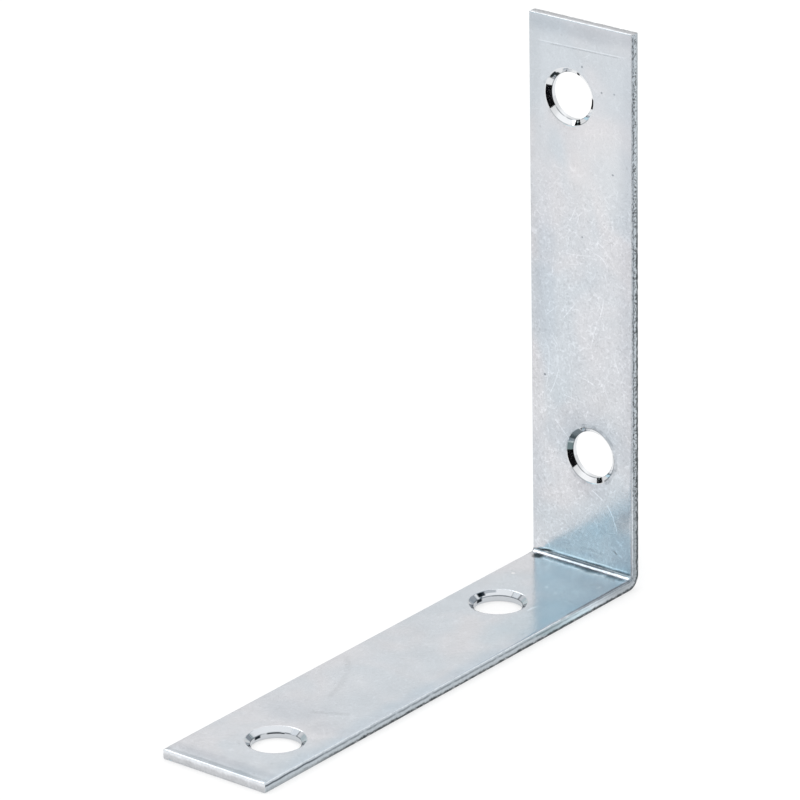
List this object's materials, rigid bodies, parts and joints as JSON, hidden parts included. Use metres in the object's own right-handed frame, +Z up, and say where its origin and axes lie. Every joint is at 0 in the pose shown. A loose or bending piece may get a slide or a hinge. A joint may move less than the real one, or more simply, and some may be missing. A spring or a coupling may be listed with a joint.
{
  "type": "corner brace",
  "caption": "Flat steel strip folded to a right angle, with staggered countersunk screw holes on its inner faces, for holding a corner square.",
  "frame": {"origin": "middle of the base leg's underside, midway between the heel's back and the base leg's free end", "axes": "+Z up the wall leg, +X along the base leg from the heel to its free end, Y across the strip's width"},
  "size_m": [0.0888, 0.019, 0.0889],
  "materials": {
    "zinc_plated_steel": "bright zinc plate, lightly scuffed"
  },
  "bodies": {
    "root": {"corner_brace": "zinc_plated_steel"}
  },
  "joints": []
}
